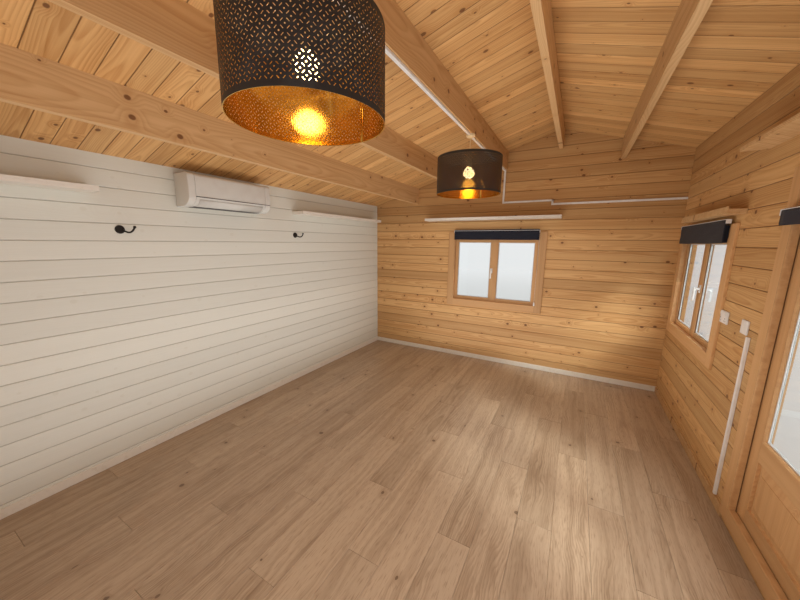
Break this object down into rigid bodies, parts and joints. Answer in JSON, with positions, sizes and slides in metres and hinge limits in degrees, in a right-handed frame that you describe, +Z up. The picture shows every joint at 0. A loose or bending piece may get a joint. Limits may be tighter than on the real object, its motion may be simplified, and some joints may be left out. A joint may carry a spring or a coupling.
{
  "type": "garden office pod",
  "caption": "Log-built garden office pod with an off-centre pitched roof, glazed double doors, windows, exposed purlins, shelves, air conditioner and hanging drum lamps.",
  "frame": {"origin": "on the ground, under the middle of the roof's outline", "axes": "+Z up, +X out through the double door, +Y out through the gable with the window"},
  "size_m": [4.4206, 5.49, 3.0929],
  "materials": {
    "treated_timber": "green pressure-treated softwood, sawn",
    "oak_floor": "oak laminate planks, satin",
    "pine_log": "planed spruce logs with knots, clear finish",
    "painted_inside_log": "planed spruce logs, matt white paint on the room side",
    "pine_board": "planed spruce beams and tongued boards with knots, clear finish",
    "pine_trim": "planed spruce trim boards",
    "pine_joinery": "clear varnished pine joinery",
    "roofing_felt": "mineral-faced bitumen felt",
    "clear_glass": "clear",
    "door_metal": "satin",
    "white_paint": "white painted board",
    "navy_fabric": "woven blackout cloth",
    "white_plastic": "satin white",
    "lamp_fitting": "white and brass",
    "shade_metal": "matt black outside, brass colour inside",
    "bulb_glass": "warm lit lamp"
  },
  "bodies": {
    "pod": {"floor_bearers": "treated_timber", "floor": "oak_floor", "rear_wall": "painted_inside_log", "plain_gable_wall": "pine_log", "window_gable_lower": "pine_log", "window_gable_left": "pine_log", "window_gable_right": "pine_log", "window_gable_top": "pine_log", "front_sill_log": "pine_log", "front_wall_beside_door": "pine_log", "front_wall_under_window": "pine_log", "front_wall_between": "pine_log", "front_wall_corner": "pine_log", "front_wall_over_window": "pine_log", "front_wall_top": "pine_log", "ridge_beam": "pine_board", "purlin_front": "pine_board", "purlin_rear_high": "pine_board", "purlin_rear_middle": "pine_board", "purlin_rear_low": "pine_board", "roof_boards_rear": "pine_board", "roof_boards_front": "pine_board", "roof_felt_rear": "roofing_felt", "roof_felt_front": "roofing_felt", "ridge_cap": "roofing_felt", "fascia_rear": "pine_trim", "fascia_front": "pine_trim", "bargeboard_plain_rear": "pine_trim", "bargeboard_plain_front": "pine_trim", "bargeboard_window_rear": "pine_trim", "bargeboard_window_front": "pine_trim", "gable_window_frame": "pine_joinery", "gable_window_sash_left": "pine_joinery", "gable_window_sash_right": "pine_joinery", "gable_window_glass_left": "clear_glass", "gable_window_glass_right": "clear_glass", "front_window_frame": "pine_joinery", "front_window_sash_left": "pine_joinery", "front_window_sash_right": "pine_joinery", "front_window_glass_left": "clear_glass", "front_window_glass_right": "clear_glass", "door_frame": "pine_joinery", "gable_shelf": "white_paint", "rear_shelf_near": "white_paint", "rear_shelf_far": "white_paint", "front_high_shelf": "pine_board", "gable_window_blind": "navy_fabric", "front_window_blind": "navy_fabric", "air_conditioner": "white_plastic", "pendant_fitting_near": "lamp_fitting", "pendant_shade_near": "shade_metal", "pendant_bulb_near": "bulb_glass", "pendant_fitting_far": "lamp_fitting", "pendant_shade_far": "shade_metal", "pendant_bulb_far": "bulb_glass"},
    "far_door": {"door_leaf_far": "pine_joinery", "door_glass_far": "clear_glass"},
    "near_door": {"door_leaf_near": "pine_joinery", "door_glass_near": "clear_glass", "door_handle": "door_metal"}
  },
  "joints": [
    {"name": "far_door_hinge", "type": "hinge", "parent": "pod", "child": "far_door", "pos_m": [1.9673, 0.429, 1.138], "axis": [0, 0, 1], "range_deg": [0, 105]},
    {"name": "near_door_hinge", "type": "hinge", "parent": "pod", "child": "near_door", "pos_m": [1.9673, -1.073, 1.138], "axis": [0, 0, -1], "range_deg": [0, 105]}
  ]
}
